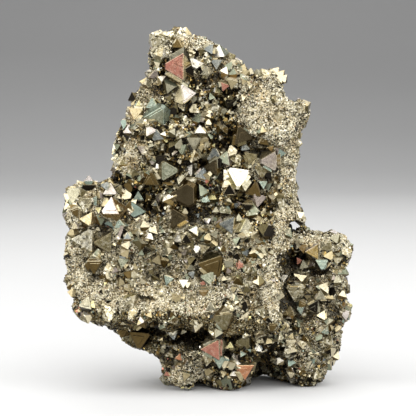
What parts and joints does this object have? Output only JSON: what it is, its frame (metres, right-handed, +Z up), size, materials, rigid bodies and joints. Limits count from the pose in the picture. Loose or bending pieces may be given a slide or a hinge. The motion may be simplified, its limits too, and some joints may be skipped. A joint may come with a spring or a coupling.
{
  "type": "pyrite mineral specimen",
  "caption": "Upright irregular mass of granular pyrite, densely set with octahedral crystals, with ledges, lobes and pockets, standing on a small flat foot.",
  "frame": {"origin": "middle of the bounding box's base, on the surface that the specimen stands on", "axes": "+Z up, along the specimen's height; the crystal-covered front faces -Y; +X is to the right of the front"},
  "size_m": [0.1216, 0.0612, 0.1508],
  "materials": {
    "pyrite": "pale brassy metallic crystal faces over sparkling granular mineral"
  },
  "bodies": {
    "root": {"pyrite_specimen": "pyrite"}
  },
  "joints": []
}
